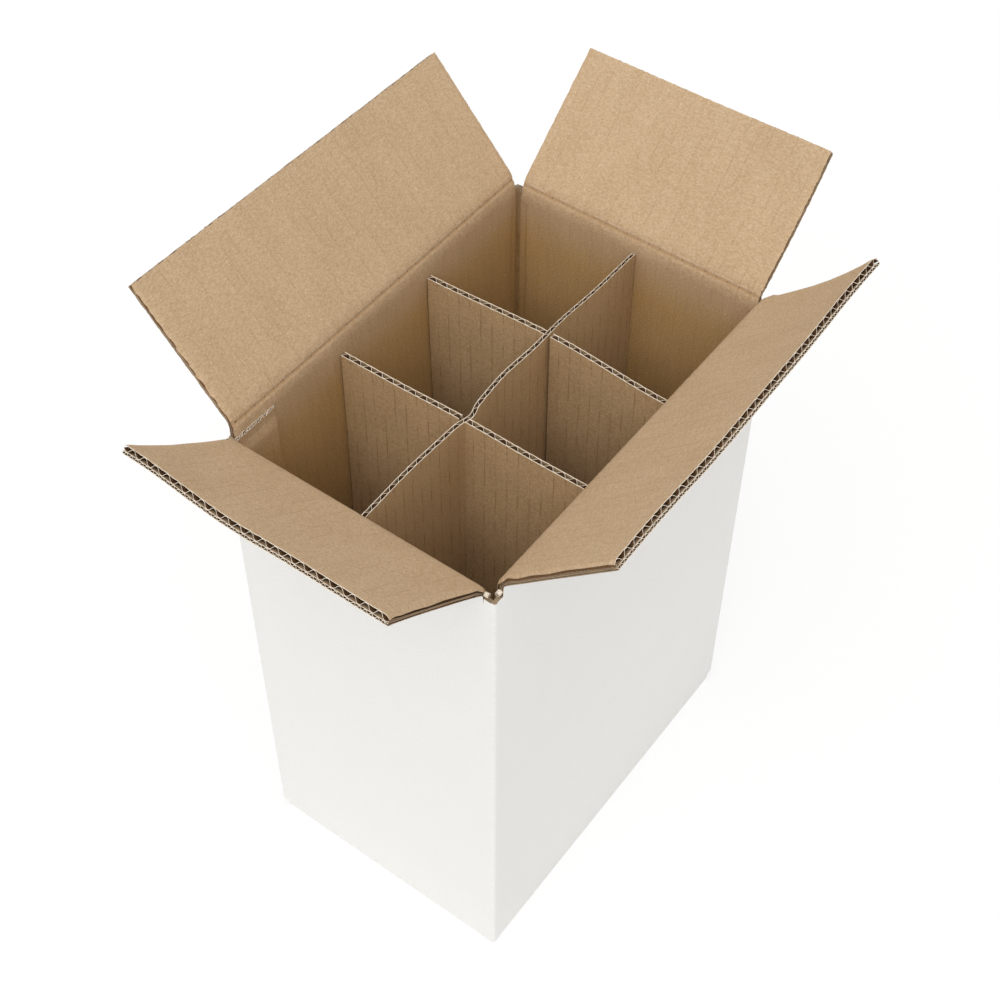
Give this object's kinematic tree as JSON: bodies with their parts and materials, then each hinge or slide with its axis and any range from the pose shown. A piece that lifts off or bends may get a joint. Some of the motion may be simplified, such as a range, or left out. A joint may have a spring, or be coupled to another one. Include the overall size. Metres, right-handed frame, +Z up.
{
  "type": "bottle shipping box",
  "caption": "Tall slotted carton in white-faced double-wall board with open top flaps and an interlocking bottle partition.",
  "frame": {"origin": "middle of the underside, where the outer bottom flaps meet", "axes": "+Z up; X along the long walls, the front wall faces -Y and the left end wall faces -X"},
  "size_m": [0.4054, 0.3051, 0.4435],
  "materials": {
    "white_faced_board": "matte white liner outside, plain kraft inside",
    "kraft_board": "matte brown kraft with faint flute lines"
  },
  "bodies": {
    "root": {"box_body": "white_faced_board", "long_divider": "kraft_board", "left_cross_divider": "kraft_board", "right_cross_divider": "kraft_board"},
    "front_flap": {"front_flap": "white_faced_board"},
    "back_flap": {"back_flap": "white_faced_board"},
    "left_end_flap": {"left_end_flap": "white_faced_board"},
    "right_end_flap": {"right_end_flap": "white_faced_board"}
  },
  "joints": [
    {"name": "front_crease", "type": "hinge", "parent": "root", "child": "front_flap", "pos_m": [0, -0.0903, 0.3732], "axis": [1, 0, 0], "range_deg": [-136, 129]},
    {"name": "back_crease", "type": "hinge", "parent": "root", "child": "back_flap", "pos_m": [0, 0.0903, 0.3732], "axis": [-1, 0, 0], "range_deg": [-132, 133]},
    {"name": "left_end_crease", "type": "hinge", "parent": "root", "child": "left_end_flap", "pos_m": [-0.1328, 0, 0.3677], "axis": [0, -1, 0], "range_deg": [-143.5, 121.5]},
    {"name": "right_end_crease", "type": "hinge", "parent": "root", "child": "right_end_flap", "pos_m": [0.1328, 0, 0.3677], "axis": [0, 1, 0], "range_deg": [-139, 126]}
  ]
}
